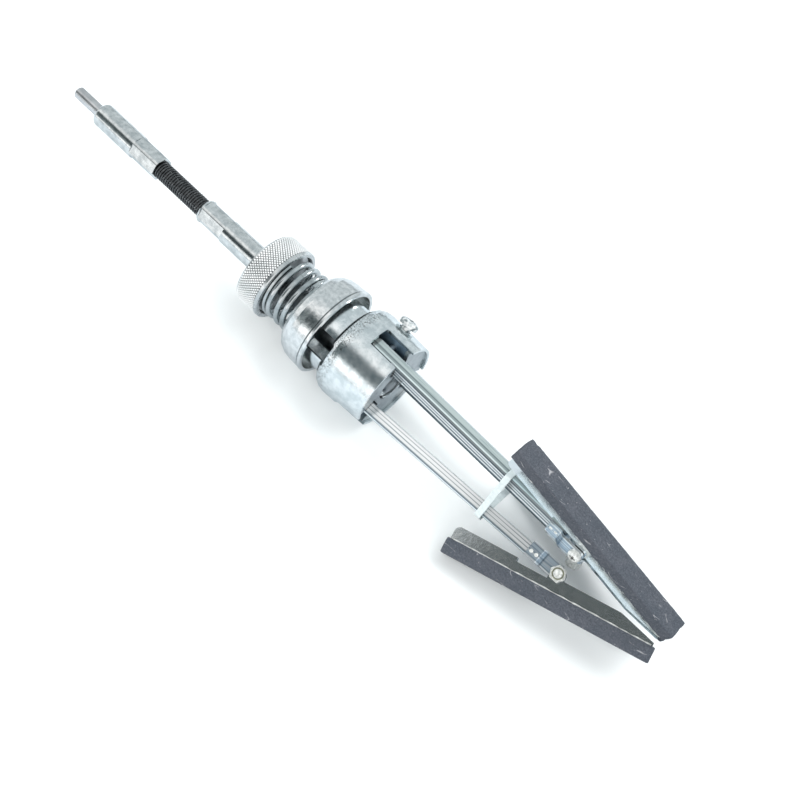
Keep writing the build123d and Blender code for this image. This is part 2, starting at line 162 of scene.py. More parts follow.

# Flexible shaft: black wire wound closely over a stranded core. The winding shows every turn
# of wire.


def group(name, **inputs):
    tree = bpy.data.node_groups.new(name, "GeometryNodeTree")
    tree.interface.new_socket("Geometry", in_out="OUTPUT", socket_type="NodeSocketGeometry")
    for label, value in inputs.items():
        kind = "NodeSocketInt" if isinstance(value, int) else "NodeSocketFloat"
        if isinstance(value, bpy.types.Material):
            kind = "NodeSocketMaterial"
        socket = tree.interface.new_socket(label, in_out="INPUT", socket_type=kind)
        socket.default_value = value
    return tree, tree.nodes.new("NodeGroupInput")


def step(tree, kind, **inputs):
    node = tree.nodes.new(kind)
    for label, value in inputs.items():
        socket = node.inputs[label.replace("_", " ")]
        if isinstance(value, bpy.types.NodeSocket):
            tree.links.new(value, socket)
        else:
            socket.default_value = value
    return node.outputs[0]


def grown(name, tree, geometry, material):
    # ends the group, applies it to an empty mesh and keeps only the real mesh
    real = step(tree, "GeometryNodeRealizeInstances", Geometry=geometry)
    painted = step(tree, "GeometryNodeSetMaterial", Geometry=real, Material=material)
    out = tree.nodes.new("NodeGroupOutput")
    tree.links.new(painted, out.inputs["Geometry"])
    holder = bpy.data.objects.new(name + "_source", bpy.data.meshes.new(name + "_source"))
    bpy.context.collection.objects.link(holder)
    holder.modifiers.new("grow", "NODES").node_group = tree
    bpy.context.view_layer.update()
    depsgraph = bpy.context.evaluated_depsgraph_get()
    mesh = bpy.data.meshes.new_from_object(holder.evaluated_get(depsgraph))
    bpy.data.objects.remove(holder)
    obj = bpy.data.objects.new(name, mesh)
    mesh.name = name
    bpy.context.collection.objects.link(obj)
    return obj


coil_low, coil_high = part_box("flex_coil")
coil_length = coil_high.x - coil_low.x
axis_y = (coil_low.y + coil_high.y) / 2
axis_z = (coil_low.z + coil_high.z) / 2
black_wire, tree, bsdf = shader("black_wire")
bsdf.inputs["Metallic"].default_value = 0.7
wear = speckle(tree, coords(tree), 500.0)
tone = ramp(tree, wear, (0.35, (0.045, 0.05, 0.054)), (0.8, (0.15, 0.158, 0.163)))
# painted shade darkens the valleys between the turns of wire
tree.links.new(corner_shaded(tree, tone, 0.0009, shut=0.5, clear=0.97), bsdf.inputs["Base Color"])
tree.links.new(span(tree, wear, 0.16, 0.3), bsdf.inputs["Roughness"])

winding, source = group(
    "winding", Turns=42.0, Radius=0.00418, Length=coil_length, Wire=0.00056, Material=black_wire
)
spiral = step(
    winding, "GeometryNodeCurveSpiral", Resolution=28, Rotations=source.outputs["Turns"],
    Start_Radius=source.outputs["Radius"], End_Radius=source.outputs["Radius"],
    Height=source.outputs["Length"],
)
wire = step(winding, "GeometryNodeCurvePrimitiveCircle", Resolution=8, Radius=source.outputs["Wire"])
coil = step(winding, "GeometryNodeCurveToMesh", Curve=spiral, Profile_Curve=wire, Fill_Caps=True)
coil = step(winding, "GeometryNodeSetShadeSmooth", Geometry=coil)
laid = step(
    winding, "GeometryNodeTransform", Geometry=coil, Rotation=(0, math.pi / 2, 0),
    Translation=(coil_low.x, axis_y, axis_z),
)
flex_winding = grown("flex_winding", winding, laid, source.outputs["Material"])
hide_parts("flex_coil")
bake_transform(flex_winding)

# Core of the flexible shaft: a rope of steel wires that runs inside the winding and carries
# the drive from one ferrule to the other.


def maths(tree, kind, a, b):
    node = tree.nodes.new("ShaderNodeMath")
    node.operation = kind
    for slot, value in enumerate((a, b)):
        if isinstance(value, bpy.types.NodeSocket):
            tree.links.new(value, node.inputs[slot])
        else:
            node.inputs[slot].default_value = value
    return node.outputs[0]


rope, source = group("rope", Radius=0.0022, Length=coil_length, Steps=60, Material=ground)
pace = maths(rope, "DIVIDE", source.outputs["Length"], source.outputs["Steps"])
line = step(
    rope, "GeometryNodeMeshLine", Count=source.outputs["Steps"],
    Offset=step(rope, "ShaderNodeCombineXYZ", X=pace),
)
strand = step(rope, "GeometryNodeMeshToCurve", Mesh=line)
section = step(rope, "GeometryNodeCurvePrimitiveCircle", Resolution=12, Radius=source.outputs["Radius"])
cord = step(rope, "GeometryNodeCurveToMesh", Curve=strand, Profile_Curve=section, Fill_Caps=True)
rope_inset = 0.0003
laid = step(
    rope, "GeometryNodeTransform", Geometry=cord, Translation=(coil_low.x + rope_inset, axis_y, axis_z)
)
flex_rope = grown("flex_rope", rope, laid, source.outputs["Material"])
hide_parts("flex_core")
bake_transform(flex_rope)

# Spindle: the long screw through nut, spring and cup. Its thread is rolled, so the crests are
# rounded, and its steel is coloured dark as painted shade for the shade inside the spring.
dark_shade_steel = plated(
    "dark_steel_in_shade", (0.1, 0.12, 0.13), (0.34, 0.37, 0.39), (0.25, 0.45), stretch=(0.2, 1, 1), scale=700
)
dress(dark_shade_steel, "spindle")
nut_low, nut_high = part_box("tension_nut")
cup_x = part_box("pressure_cup")[0].x
thread, source = group(
    "thread", Pitch=0.0015, Radius=0.00502, Length=cup_x - nut_low.x, Wire=0.0004, Material=dark_shade_steel
)
spiral = step(
    thread, "GeometryNodeCurveSpiral", Resolution=40,
    Rotations=maths(thread, "DIVIDE", source.outputs["Length"], source.outputs["Pitch"]),
    Start_Radius=source.outputs["Radius"], End_Radius=source.outputs["Radius"],
    Height=source.outputs["Length"],
)
crest = step(thread, "GeometryNodeCurvePrimitiveCircle", Resolution=6, Radius=source.outputs["Wire"])
ridge = step(thread, "GeometryNodeCurveToMesh", Curve=spiral, Profile_Curve=crest, Fill_Caps=True)
ridge = step(thread, "GeometryNodeSetShadeSmooth", Geometry=ridge)
laid = step(
    thread, "GeometryNodeTransform", Geometry=ridge, Rotation=(0, math.pi / 2, 0),
    Translation=(nut_low.x, axis_y, axis_z),
)
spindle_thread = grown("spindle_thread", thread, laid, source.outputs["Material"])
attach(spindle_thread, "body")

# Tension nut: a turned disc whose rim is rolled with a diamond knurl between two plain edges.
# The knurl's small pyramids, made lighter as painted light, are instanced round and along the rim,
# over a dark ground, painted shade, that shows in the valleys.


def shaped(name, points, faces, material, smooth):
    mesh = bpy.data.meshes.new(name)
    mesh.from_pydata(points, [], faces)
    mesh.validate()
    obj = bpy.data.objects.new(name, mesh)
    bpy.context.collection.objects.link(obj)
    mesh.materials.append(material)
    work = bmesh.new()
    work.from_mesh(mesh)
    bmesh.ops.recalc_face_normals(work, faces=work.faces)
    work.to_mesh(mesh)
    work.free()
    mesh.shade_smooth()
    mesh.set_sharp_from_angle(angle=math.radians(smooth))
    return obj


def lathe(name, profile, material, parts=128):
    # a closed profile of (x, r) in metres, turned about the tool's axis
    points = []
    for i in range(parts):
        a = 2 * math.pi * i / parts
        points += [(x, axis_y - r * math.sin(a), axis_z + r * math.cos(a)) for x, r in profile]
    count = len(profile)
    faces = []
    for i in range(parts):
        for j in range(count):
            a, b = i * count, (i + 1) % parts * count
            k = (j + 1) % count
            faces.append((a + j, a + k, b + k, b + j))
    return shaped(name, points, faces, material, smooth=35)


nut_zinc = plated("nut_zinc", (0.58, 0.61, 0.62), (0.84, 0.86, 0.86), (0.2, 0.36))
# the crests take a lighter copy of the nut's zinc, painted light, and the valleys a dark copy, painted
# shade
lit_crest_zinc = plated(
    "lit_crest_zinc", (0.82, 0.85, 0.85), (0.97, 0.98, 0.98), (0.25, 0.4), metal=0.3, shade_reach=0.0006
)
valley_shade_zinc = plated("valley_shade_zinc", (0.04, 0.045, 0.05), (0.12, 0.13, 0.14), (0.4, 0.6))
nut_x0, nut_x1 = nut_low.x, nut_high.x
nut_r = (nut_high.z - nut_low.z) / 2
tooth_height, edge, lip = 0.00055, 0.0012, 0.0017
root_r = nut_r - tooth_height
bore_r, recess_r, recess_x = 0.0051, 0.0173, nut_x1 - 0.0032
lip_r, slope = nut_r - 0.0001, 0.0003
nut_body = lathe(
    "nut_disc",
    [
        (nut_x0, bore_r), (nut_x0, nut_r - edge), (nut_x0 + 0.0004, nut_r - 0.6 * edge),
        (nut_x0 + edge, root_r), (nut_x1 - lip - slope, root_r), (nut_x1 - lip, lip_r),
        (nut_x1 - 0.0005, lip_r), (nut_x1, nut_r - 0.0006), (nut_x1, recess_r),
        (recess_x, recess_r), (recess_x, bore_r),
    ],
    nut_zinc,
)
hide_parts("tension_nut")
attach(nut_body, "nut")

# a dark sleeve of painted shade just under the knurl's root, that shows in the valleys
skin, sunk = root_r + 0.00004, root_r - 0.0002
valleys = lathe(
    "nut_valley_shade",
    [
        (nut_x0 + edge, sunk), (nut_x0 + edge, skin),
        (nut_x1 - lip - slope, skin), (nut_x1 - lip - slope, sunk),
    ],
    valley_shade_zinc,
)
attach(valleys, "nut")

around_count, row_count = 82, 12
knurl_start, knurl_end = nut_x0 + edge + 0.0004, nut_x1 - lip - 0.0007
row_gap = (knurl_end - knurl_start) / (row_count - 1)
cell_r = math.pi * nut_r / around_count
knurl, source = group("knurl", Around=around_count, Rows=row_count, Radius=root_r, Material=lit_crest_zinc)
ring = step(
    knurl, "GeometryNodeMeshCircle", Vertices=source.outputs["Around"], Radius=source.outputs["Radius"]
)
number = step(knurl, "GeometryNodeInputIndex")
bearing = maths(knurl, "MULTIPLY", number, 2 * math.pi / around_count)
faced = step(knurl, "ShaderNodeCombineXYZ", X=0.0, Y=math.pi / 2, Z=bearing)
tip_r, foot_r, bedded = 0.0004, 0.92 * cell_r, 0.00002
pyramid = step(
    knurl, "GeometryNodeMeshCone", Vertices=4, Radius_Top=tip_r, Radius_Bottom=foot_r, Depth=tooth_height
)
stretched = step(
    knurl, "GeometryNodeTransform", Geometry=pyramid, Translation=(0, 0, -bedded),
    Scale=(row_gap / cell_r, 1, 1),
)
teeth = step(knurl, "GeometryNodeInstanceOnPoints", Points=ring, Instance=stretched, Rotation=faced)
rows = step(knurl, "GeometryNodeMeshLine", Count=source.outputs["Rows"], Offset=(0, 0, row_gap))
odd = maths(knurl, "MODULO", number, 2.0)
twist = step(knurl, "ShaderNodeCombineXYZ", Z=maths(knurl, "MULTIPLY", odd, math.pi / around_count))
bands = step(knurl, "GeometryNodeInstanceOnPoints", Points=rows, Instance=teeth, Rotation=twist)
laid = step(
    knurl, "GeometryNodeTransform", Geometry=bands, Rotation=(0, math.pi / 2, 0),
    Translation=(knurl_start, axis_y, axis_z),
)
nut_knurl = grown("nut_knurl", knurl, laid, source.outputs["Material"])
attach(nut_knurl, "nut")

# Thrust washer: a thin ground steel ring that lies in the nut's recess, so that the turning
# nut doesn't rub on the end of the spring.
dress(ground, "thrust_washer")

# Tension spring: round spring wire with closed ends, bright plated. It is drawn in two lengths
# that meet at one section.
spring_wire = plated("spring_wire", (0.38, 0.42, 0.43), (0.66, 0.7, 0.71), (0.12, 0.26), scale=600)


def tube(name, path, radius, material, sides=14):
    path = [Vector(p) for p in path]
    ahead = (path[1] - path[0]).normalized()
    side = ahead.orthogonal().normalized()
    points, faces = [], []
    for i, p in enumerate(path):
        along = (path[min(i + 1, len(path) - 1)] - path[max(i - 1, 0)]).normalized()
        side = (side - along * side.dot(along)).normalized()
        over = along.cross(side)
        for k in range(sides):
            a = 2 * math.pi * k / sides
            points.append(p + radius * (math.cos(a) * side + math.sin(a) * over))
    for i in range(len(path) - 1):
        for k in range(sides):
            a, b = i * sides, (i + 1) * sides
            n = (k + 1) % sides
            faces.append((a + k, a + n, b + n, b + k))
    faces.append(tuple(range(sides)))
    faces.append(tuple(len(points) - sides + k for k in range(sides)))
    return shaped(name, points, faces, material, smooth=60)


spring_low, spring_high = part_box("tension_spring")
wire_r = 0.00148
mean_r = (spring_high.z - spring_low.z) / 2 - wire_r
first_x, last_x = spring_low.x + wire_r, spring_high.x - wire_r
end_turns, all_turns = 1.25, 4.0
climb = 2 * wire_r * 1.02
rise = (last_x - first_x - 2 * end_turns * climb) / (all_turns - 2 * end_turns)


def spring_point(turn_at):
    # the closed end turns climb by one wire each, the free ones between them by rise
    start = min(turn_at, end_turns) * climb
    middle = max(0.0, min(turn_at, all_turns - end_turns) - end_turns) * rise
    finish = max(0.0, turn_at - all_turns + end_turns) * climb
    a = 2 * math.pi * turn_at
    return (
        first_x + start + middle + finish,
        axis_y - mean_r * math.sin(a),
        axis_z + mean_r * math.cos(a),
    )


cut_turn, turn_steps, still = 2.0, 48, 0.0012
cut_x = spring_point(cut_turn)[0]
for name, t0, t1, bodies, from_x, to_x in (
    ("spring_nut_side", 0.0, cut_turn, ("adjuster", "body"), first_x, cut_x - still),
    ("spring_cup_side", cut_turn, all_turns, ("body", "cup"), cut_x + still, last_x),
):
    count = int((t1 - t0) * turn_steps)
    path = [spring_point(t0 + (t1 - t0) * i / count) for i in range(count + 1)]
    piece = tube(name, path, wire_r, spring_wire)
    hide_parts("tension_spring")
    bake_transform(piece)

# Pressure cup: turned from bar and bright plated, with a mottled sheen. The sleeve under it is
# coloured dark as painted shade inside the body, and pushes on the short levers of the arms.
cup_zinc = plated(
    "cup_zinc", (0.66, 0.7, 0.71), (0.94, 0.96, 0.96), (0.12, 0.3), strength=0.5, patch=450
)
dress(cup_zinc, "pressure_cup")
dress(dark_shade_steel, "push_sleeve")

# Body shell: drawn from sheet and plated. The plating is mottled, slightly pitted on the
# shoulder, and runs smoother down the sides.
shell_zinc = plated(
    "shell_zinc", (0.7, 0.77, 0.79), (0.92, 0.97, 0.98), (0.1, 0.3), scale=420, strength=0.5, patch=260,
    stops=(0.38, 0.62),
)
dress(shell_zinc, "body_shell")
tree, bsdf = shell_zinc.node_tree, shell_zinc.node_tree.nodes["Principled BSDF"]
# the pits lie on the first 8 of these 20 mm, along the tool from the middle of its length
pit_reach = 0.02
split = tree.nodes.new("ShaderNodeSeparateXYZ")
tree.links.new(coords(tree, (1 / pit_reach, 1 / pit_reach, 1 / pit_reach)), split.inputs["Vector"])
black, white = (0, 0, 0), (1, 1, 1)
shoulder = ramp(tree, split.outputs["X"], (0.0, black), (0.05, white), (0.3, white), (0.4, black))
grains = speckle(tree, coords(tree), 1300.0, detail=4.0, rough=0.7)
specks = ramp(tree, grains, (0.5, black), (0.58, white))
pits = tree.nodes.new("ShaderNodeMix")
pits.data_type = "RGBA"
tree.links.new(maths(tree, "MULTIPLY", shoulder, specks), pits.inputs["Factor"])
tree.links.new(bsdf.inputs["Base Color"].links[0].from_socket, pits.inputs["A"])
pits.inputs["B"].default_value = (0.34, 0.37, 0.38, 1)
tree.links.new(pits.outputs["Result"], bsdf.inputs["Base Color"])

# Core, bottom plate, clip and hinge pins: what shows through the slots and from below. The core
# is dark iron, the plate under it dull zinc, and the spring clip on the spindle's end and the
# ground pins are bright.
core_iron = plated(
    "core_iron", (0.06, 0.1, 0.14), (0.17, 0.25, 0.32), (0.28, 0.45), stretch=(0.1, 1, 1), scale=500,
    metal=0.4,
)
plate_zinc = plated("plate_zinc", (0.3, 0.34, 0.36), (0.52, 0.56, 0.58), (0.22, 0.42), scale=500)
dress(core_iron, "body_core")
dress(plate_zinc, "bottom_plate")
dress(cup_zinc, "spindle_clip")
dress(ground, "hinge_pin_a", "hinge_pin_b", "hinge_pin_c")

# Lobe screw: a plated pan-head screw with a cross recess, driven through the shell into the
# core. Its plating is worn through in places.
screw_zinc = plated(
    "screw_zinc", (0.24, 0.28, 0.29), (0.88, 0.91, 0.91), (0.1, 0.26), strength=0.3, patch=600,
    stops=(0.42, 0.54), metal=0.6,
)
dress(screw_zinc, "lobe_screw")

# Arms and feet: channels pressed from bright plated sheet, with painted reflections along their
# walls and webs: the light lines are painted highlights and the dark ones painted dark reflections,
# broader on the top arm. Each foot is a fork folded over its arm's end, with a step in its walls.
# The lines are ramps over the channel's depth and width, measured from the hinge.
LEGS = {"a": 0, "b": 120, "c": 240}  # each leg's angle in degrees round the axis, from the top one
hinge_low, hinge_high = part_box("hinge_pin_a")
hinge = Vector(((hinge_low.x + hinge_high.x) / 2, axis_y, (hinge_low.z + hinge_high.z) / 2))
pivot_low, pivot_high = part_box("pivot_screw_a")
pivot_x, pivot_z = (pivot_low.x + pivot_high.x) / 2, (pivot_low.z + pivot_high.z) / 2
drop = math.atan2(hinge.z - pivot_z, pivot_x - hinge.x)
arm_low, arm_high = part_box("arm_a")
arm_width = arm_high.y - arm_low.y
hinge_to_pivot, edge_below_hinge, foot_depth = 0.1218, 0.0042, 0.0072


def painted_reflections(mat, angle, depth_tones, width_tones=None):
    # depth is 0 at the foot's open edge and 1 at its web, width 0 and 1 at the outer faces
    tree, bsdf = mat.node_tree, mat.node_tree.nodes["Principled BSDF"]
    axis = Vector((hinge.x, axis_y, axis_z))
    lean = Matrix.Rotation(-drop, 3, "Y") @ Matrix.Rotation(-math.radians(angle), 3, "X")
    place = coords(tree)
    mapping = place.node
    mapping.inputs["Rotation"].default_value = lean.to_euler("XYZ")
    mapping.inputs["Location"].default_value = -(lean @ axis)
    split = tree.nodes.new("ShaderNodeSeparateXYZ")
    tree.links.new(place, split.inputs["Vector"])
    above_edge = maths(tree, "SUBTRACT", split.outputs["Z"], hinge.z - axis_z - edge_below_hinge)
    depth = maths(tree, "MULTIPLY", above_edge, 1 / foot_depth)
    tone = bsdf.inputs["Base Color"].links[0].from_socket
    # painted reflections: light and dark lines over the channel's depth and width
    tone = times(tree, tone, ramp(tree, depth, *depth_tones))
    if width_tones:
        width = maths(tree, "ADD", maths(tree, "MULTIPLY", split.outputs["Y"], 1 / arm_width), 0.5)
        tone = times(tree, tone, ramp(tree, width, *width_tones))
    # painted shade on the step of the foot, dimming its bright reflection
    along = maths(tree, "MULTIPLY", split.outputs["X"], 1 / hinge_to_pivot)
    fold = ramp(tree, along, (0.907, lit), (0.91, step_shade), (0.926, step_shade), (0.929, lit))
    tree.links.new(times(tree, tone, fold), bsdf.inputs["Base Color"])
    return mat


# tones of the painted reflections: the light ones painted highlights, the dark ones painted dark
# reflections and shade
lit, mid, dim = (1, 1, 1), (0.55, 0.6, 0.63), (0.2, 0.24, 0.27)
blue, deep, web = (0.6, 0.68, 0.75), (0.26, 0.33, 0.39), (0.5, 0.55, 0.53)
step_shade, edge_shade, bright = (0.45, 0.5, 0.54), (0.45, 0.48, 0.5), (1.6, 1.6, 1.65)
mid_web_shade = (0.42, 0.46, 0.49)
fine_reflections = (
    (0.16, dim), (0.2, mid), (0.24, lit), (0.34, lit), (0.38, dim), (0.42, lit), (0.56, lit), (0.6, dim),
    (0.64, lit), (0.76, lit), (0.8, mid), (0.86, dim), (0.91, dim), (0.94, lit), (0.99, web),
)
broad_reflections = (
    (0.16, dim), (0.2, mid), (0.24, lit), (0.3, lit), (0.34, dim), (0.46, dim), (0.52, lit), (0.57, lit),
    (0.61, dim), (0.72, mid), (0.76, lit), (0.81, lit), (0.85, dim), (0.91, dim), (0.94, lit), (0.99, web),
)
foot_reflections = (
    (0.04, lit), (0.1, deep), (0.16, blue), (0.36, blue), (0.4, lit), (0.46, blue),
    (0.54, deep), (0.6, lit), (0.7, blue), (0.8, blue), (0.86, deep), (0.92, lit),
)
web_reflections = (
    (0.02, lit), (0.05, edge_shade), (0.11, edge_shade), (0.15, bright), (0.23, bright), (0.27, (0.8, 0.84, 0.86)),
    (0.37, (0.7, 0.73, 0.76)), (0.41, mid_web_shade), (0.46, mid_web_shade), (0.52, (1.15, 1.17, 1.2)),
    (0.96, (1.1, 1.12, 1.15)), (0.99, lit),
)
lengthwise = (0.012, 1, 1)
for leg, angle in LEGS.items():
    arm_zinc = plated(
        "arm_zinc_" + leg, (0.66, 0.72, 0.74), (0.97, 0.99, 0.99), (0.08, 0.2), stretch=lengthwise,
        scale=1500, strength=0.3, patch=1100, streak=lengthwise, stops=(0.34, 0.44), metal=0.65,
    )
    wall_reflections = broad_reflections if leg == "a" else fine_reflections
    dress(painted_reflections(arm_zinc, angle, wall_reflections, web_reflections), "arm_" + leg)
    foot_zinc = plated(
        "foot_zinc_" + leg, (0.5, 0.58, 0.64), (0.92, 0.97, 0.99), (0.08, 0.2), stretch=lengthwise,
        scale=1200, strength=0.2, patch=1000, streak=lengthwise, stops=(0.38, 0.5), metal=0.7,
    )
    dress(painted_reflections(foot_zinc, angle, foot_reflections), "arm_foot_" + leg)

# Foot dimples: two on each wall of a foot, pressed in with a punch once the foot sits over its
# arm, so that it can't slide off. They stand out as small round studs.
small_zinc = plated(
    "small_zinc", (0.5, 0.52, 0.5), (0.95, 0.96, 0.93), (0.1, 0.26), strength=0.3, patch=900, metal=0.25
)


def leg_ways(angle):
    # a leg's outward direction from the tool's axis, and the direction across the leg
    lean = math.radians(angle)
    return Vector((0, -math.sin(lean), math.cos(lean))), Vector((0, math.cos(lean), math.sin(lean)))


# places along the tool and out from its axis, and rings of one dimple as radius and lift
dimple_places = ((0.1256, 0.01114), (0.1284, 0.01104))
dimple_rings = ((0.00095, -0.0001), (0.00085, 0.00008), (0.0005, 0.0002), (0.0001, 0.00024))
wall_out, sides = 0.0047, 20
for leg, angle in LEGS.items():
    out, across = leg_ways(angle)
    points, faces = [], []
    for side in (-1, 1):
        for x, r in dimple_places:
            centre = Vector((x, axis_y, axis_z)) + out * r + across * side * wall_out
            base = len(points)
            for ring_r, lift in dimple_rings:
                for k in range(sides):
                    a = 2 * math.pi * k / sides
                    rim = Vector((math.cos(a), 0, 0)) + out * math.sin(a)
                    points.append(centre + rim * ring_r + across * side * lift)
            last = base + (len(dimple_rings) - 1) * sides
            for a in range(base, last, sides):
                for k in range(sides):
                    n = (k + 1) % sides
                    faces.append((a + k, a + n, a + sides + n, a + sides + k))
            faces.append(tuple(last + k for k in range(sides)))
            faces.append(tuple(base + sides - 1 - k for k in range(sides)))
    dimples = shaped("foot_dimples_" + leg, points, faces, small_zinc, smooth=40)
    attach(dimples, "leg_" + leg)

# Pivot screws and lock nuts: zinc plated pan-head screws through foot and stone holder, each
# held by a self-locking nut. The nut's nylon ring is rolled into its collar round the screw; its
# dark colour is painted shade for the hollow of the collar.
dark_nylon_shade, tree, bsdf = shader("dark_nylon_shade")
mottle = speckle(tree, coords(tree), 900.0)
# a dark olive tone, painted shade for the collar's hollow
tone = ramp(tree, mottle, (0.3, (0.1, 0.11, 0.07)), (0.7, (0.24, 0.25, 0.18)))
tree.links.new(tone, bsdf.inputs["Base Color"])
bsdf.inputs["Roughness"].default_value = 0.45
lock_low, lock_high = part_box("lock_nut_a")
lock_x, lock_z = (lock_low.x + lock_high.x) / 2, (lock_low.z + lock_high.z) / 2
ring_r, ring_wire, ring_steps = 0.0024, 0.00032, 40
for leg, angle in LEGS.items():
    dress(small_zinc, "pivot_screw_" + leg, "lock_nut_" + leg)
    out, across = leg_ways(angle)
    centre = Vector((lock_x, axis_y, axis_z)) + out * (lock_z - axis_z) + across * (lock_high.y - axis_y)
    loop = []
    for i in range(ring_steps + 1):
        a = 2 * math.pi * i / ring_steps
        loop.append(centre + ring_r * (out * math.cos(a) + Vector((1, 0, 0)) * math.sin(a)))
    insert = tube("nut_ring_" + leg, loop, ring_wire, dark_nylon_shade, sides=8)
    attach(insert, "stone_" + leg)

# Stone holders: long plates folded from sheet and brightly plated, that carry the stones and
# turn on the pivot screws.
holder_zinc = plated(
    "holder_zinc", (0.84, 0.9, 0.92), (0.94, 0.99, 1.0), (0.07, 0.16), scale=700, strength=0.2, patch=260
)
dress(holder_zinc, "stone_holder_a", "stone_holder_b", "stone_holder_c")

# Stones: pressed abrasive bars, dark with a violet cast, worn round at the ends and scratched.
# Each is glued to its holder, and the glue stands out in a bead along both edges.
stone_mat, tree, bsdf = shader("abrasive")
grit = speckle(tree, coords(tree), 1500.0, detail=5.0, rough=0.8)
cloud = speckle(tree, coords(tree), 60.0, detail=5.0, rough=0.7)
hairline = ramp(
    tree, speckle(tree, coords(tree, (0.22, 1, 1)), 150.0, detail=1.0),
    (0.484, black), (0.491, white), (0.493, white), (0.5, black),
)
seldom = ramp(
    tree, speckle(tree, coords(tree, (1, 1.3, 0.8)), 150.0, detail=2.0),
    (0.54, black), (0.64, (0.6, 0.6, 0.6)),
)
fleck = ramp(
    tree, speckle(tree, coords(tree), 900.0, detail=2.0), (0.7, black), (0.76, (0.55, 0.55, 0.55))
)
scratch = maths(tree, "MAXIMUM", maths(tree, "MULTIPLY", hairline, seldom), fleck)
body_tone = ramp(
    tree, grit, (0.25, (0.047, 0.053, 0.062)), (0.5, (0.085, 0.095, 0.111)), (0.8, (0.17, 0.18, 0.2))
)
cast = ramp(tree, cloud, (0.35, (0.84, 0.87, 0.9)), (0.65, (1.06, 1.04, 1.05)))
marked = tree.nodes.new("ShaderNodeMix")
marked.data_type = "RGBA"
tree.links.new(scratch, marked.inputs["Factor"])
tree.links.new(times(tree, body_tone, cast), marked.inputs["A"])
marked.inputs["B"].default_value = (0.62, 0.62, 0.64, 1)
tree.links.new(marked.outputs["Result"], bsdf.inputs["Base Color"])
bsdf.inputs["Roughness"].default_value = 0.9
bsdf.inputs["Specular IOR Level"].default_value = 0.25
dents(tree, bsdf, grit, strength=0.6, distance=0.0003)


def leg_axes(node):
    # centre and unit axes (length, outward, width) of a leg's straight bar, from its CAD corners
    corners = {tuple(round(c, 7) for c in v.co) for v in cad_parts[node].data.vertices}
    corners = [Vector(c) for c in corners]
    centre = sum(corners, Vector()) / len(corners)
    first = corners[0]
    reach = sorted(corners, key=lambda c: (c - first).length)
    edges = [(reach[i] - first) for i in (4, 1, 2)]
    long, out, wide = (e.normalized() for e in edges)
    spoke = Vector((0, centre.y - axis_y, centre.z - axis_z))
    long = long if long.x > 0 else -long
    out = out if out.dot(spoke) > 0 else -out
    wide = long.cross(out)
    return centre, (long, out, wide), [e.length for e in edges]


def worn_bar(size, cell, seed):
    # surface grid of a box whose edges are rounded by a radius that noise makes larger in places
    steps = [max(2, int(round(s / cell))) for s in size]
    index, points, faces = {}, [], []

    def vertex(key):
        if key not in index:
            index[key] = len(points)
            points.append([size[i] * (key[i] / steps[i] - 0.5) for i in range(3)])
        return index[key]

    for axis in range(3):
        u, v = (axis + 1) % 3, (axis + 2) % 3
        for end in (0, steps[axis]):
            for i in range(steps[u]):
                for j in range(steps[v]):
                    quad = []
                    for di, dj in ((0, 0), (1, 0), (1, 1), (0, 1)):
                        key = [0, 0, 0]
                        key[axis], key[u], key[v] = end, i + di, j + dj
                        quad.append(vertex(tuple(key)))
                    faces.append(quad)
    worn = []
    end_reach = 0.004
    for p in points:
        place = Vector(p) + Vector((seed, 2 * seed, -seed))
        near_end = max(0.0, abs(p[0]) - size[0] / 2 + end_reach) / end_reach
        bite = max(0.0, noise.noise(place * 260) - 0.38)
        chip = 0.0002 + 0.0016 * max(0.0, noise.noise(place * 330))
        r = 0.00035 + 0.0035 * bite + near_end * chip
        inner = Vector([max(-(size[i] / 2 - r), min(size[i] / 2 - r, p[i])) for i in range(3)])
        away = Vector(p) - inner
        q = inner + away.normalized() * r if away.length > 1e-9 else Vector(p)
        shrink = 0.00004 + 0.00006 * noise.noise(place * 900)
        worn.append(q - (away.normalized() * shrink if away.length > 1e-9 else Vector()))
    return worn, faces


glue_mat, tree, bsdf = shader("glue")
gloss = speckle(tree, coords(tree), 400.0)
tone = ramp(tree, gloss, (0.3, (0.42, 0.44, 0.42)), (0.75, (0.8, 0.82, 0.8)))
tree.links.new(tone, bsdf.inputs["Base Color"])
tree.links.new(span(tree, gloss, 0.15, 0.4), bsdf.inputs["Roughness"])
stone_cell = 0.0008
bead_steps, bead_share, bead_out, bead_r, bead_sides = 120, 0.955, 0.0042, 0.001, 8
for seed, leg in enumerate(LEGS):
    centre, (long, out, wide), size = leg_axes("stone_" + leg)
    worn, faces = worn_bar(size, stone_cell, 0.37 * seed + 0.11)
    stone = shaped(
        "worn_stone_" + leg, [centre + long * p[0] + out * p[1] + wide * p[2] for p in worn],
        faces, stone_mat, smooth=40,
    )
    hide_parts("stone_" + leg)
    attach(stone, "stone_" + leg)
    for side in (-1, 1):
        path, swell = [], []
        for i in range(bead_steps + 1):
            s = size[0] * (i / bead_steps - 0.5) * bead_share
            lump = noise.noise(Vector((s * 260, side * 3.1, seed * 7.7)))
            seam = centre + long * s - out * (size[1] / 2 + 0.0001)
            path.append(seam + wide * side * (bead_out + 0.00012 * lump))
            swell.append(0.00032 + 0.00038 * max(-0.4, lump))
        bead_name = "glue_%s_%s" % (leg, "left" if side < 0 else "right")
        bead = tube(bead_name, path, bead_r, glue_mat, sides=bead_sides)
        # the even bead swells and thins with its lumps
        for i, p in enumerate(path):
            for v in bead.data.vertices[i * bead_sides:(i + 1) * bead_sides]:
                v.co = p + (v.co - p) * (swell[i] / bead_r)
        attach(bead, "stone_" + leg)

